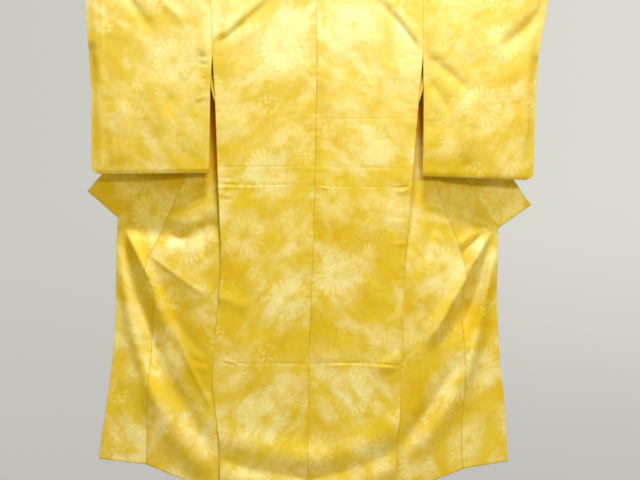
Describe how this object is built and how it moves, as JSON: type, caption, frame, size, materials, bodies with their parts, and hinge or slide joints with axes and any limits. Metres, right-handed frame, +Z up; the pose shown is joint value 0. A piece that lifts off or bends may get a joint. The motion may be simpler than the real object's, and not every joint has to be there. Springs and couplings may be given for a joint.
{
  "type": "kimono on a rod",
  "caption": "Silk kimono hung over a plain rod, seen from the back, with wide sleeves, a folded collar and both fronts turned outward.",
  "frame": {"origin": "middle of the rod that carries the garment at its shoulders", "axes": "+Z up; -Y is the side that the garment's back faces, +Y the wall side where the collar tips are held; +X along the rod, to the viewer's right when seen from the back"},
  "size_m": [1.4, 0.0899, 1.5416],
  "materials": {
    "silk": "satin figured silk in golden yellow and cream",
    "collar_silk": "the same silk, folded double",
    "wood": "plain smoothed wood"
  },
  "bodies": {
    "root": {"rod": "wood", "body_left": "silk", "body_right": "silk", "sleeve_left": "silk", "sleeve_right": "silk", "okumi_left": "silk", "okumi_right": "silk", "collar": "collar_silk"}
  },
  "joints": []
}
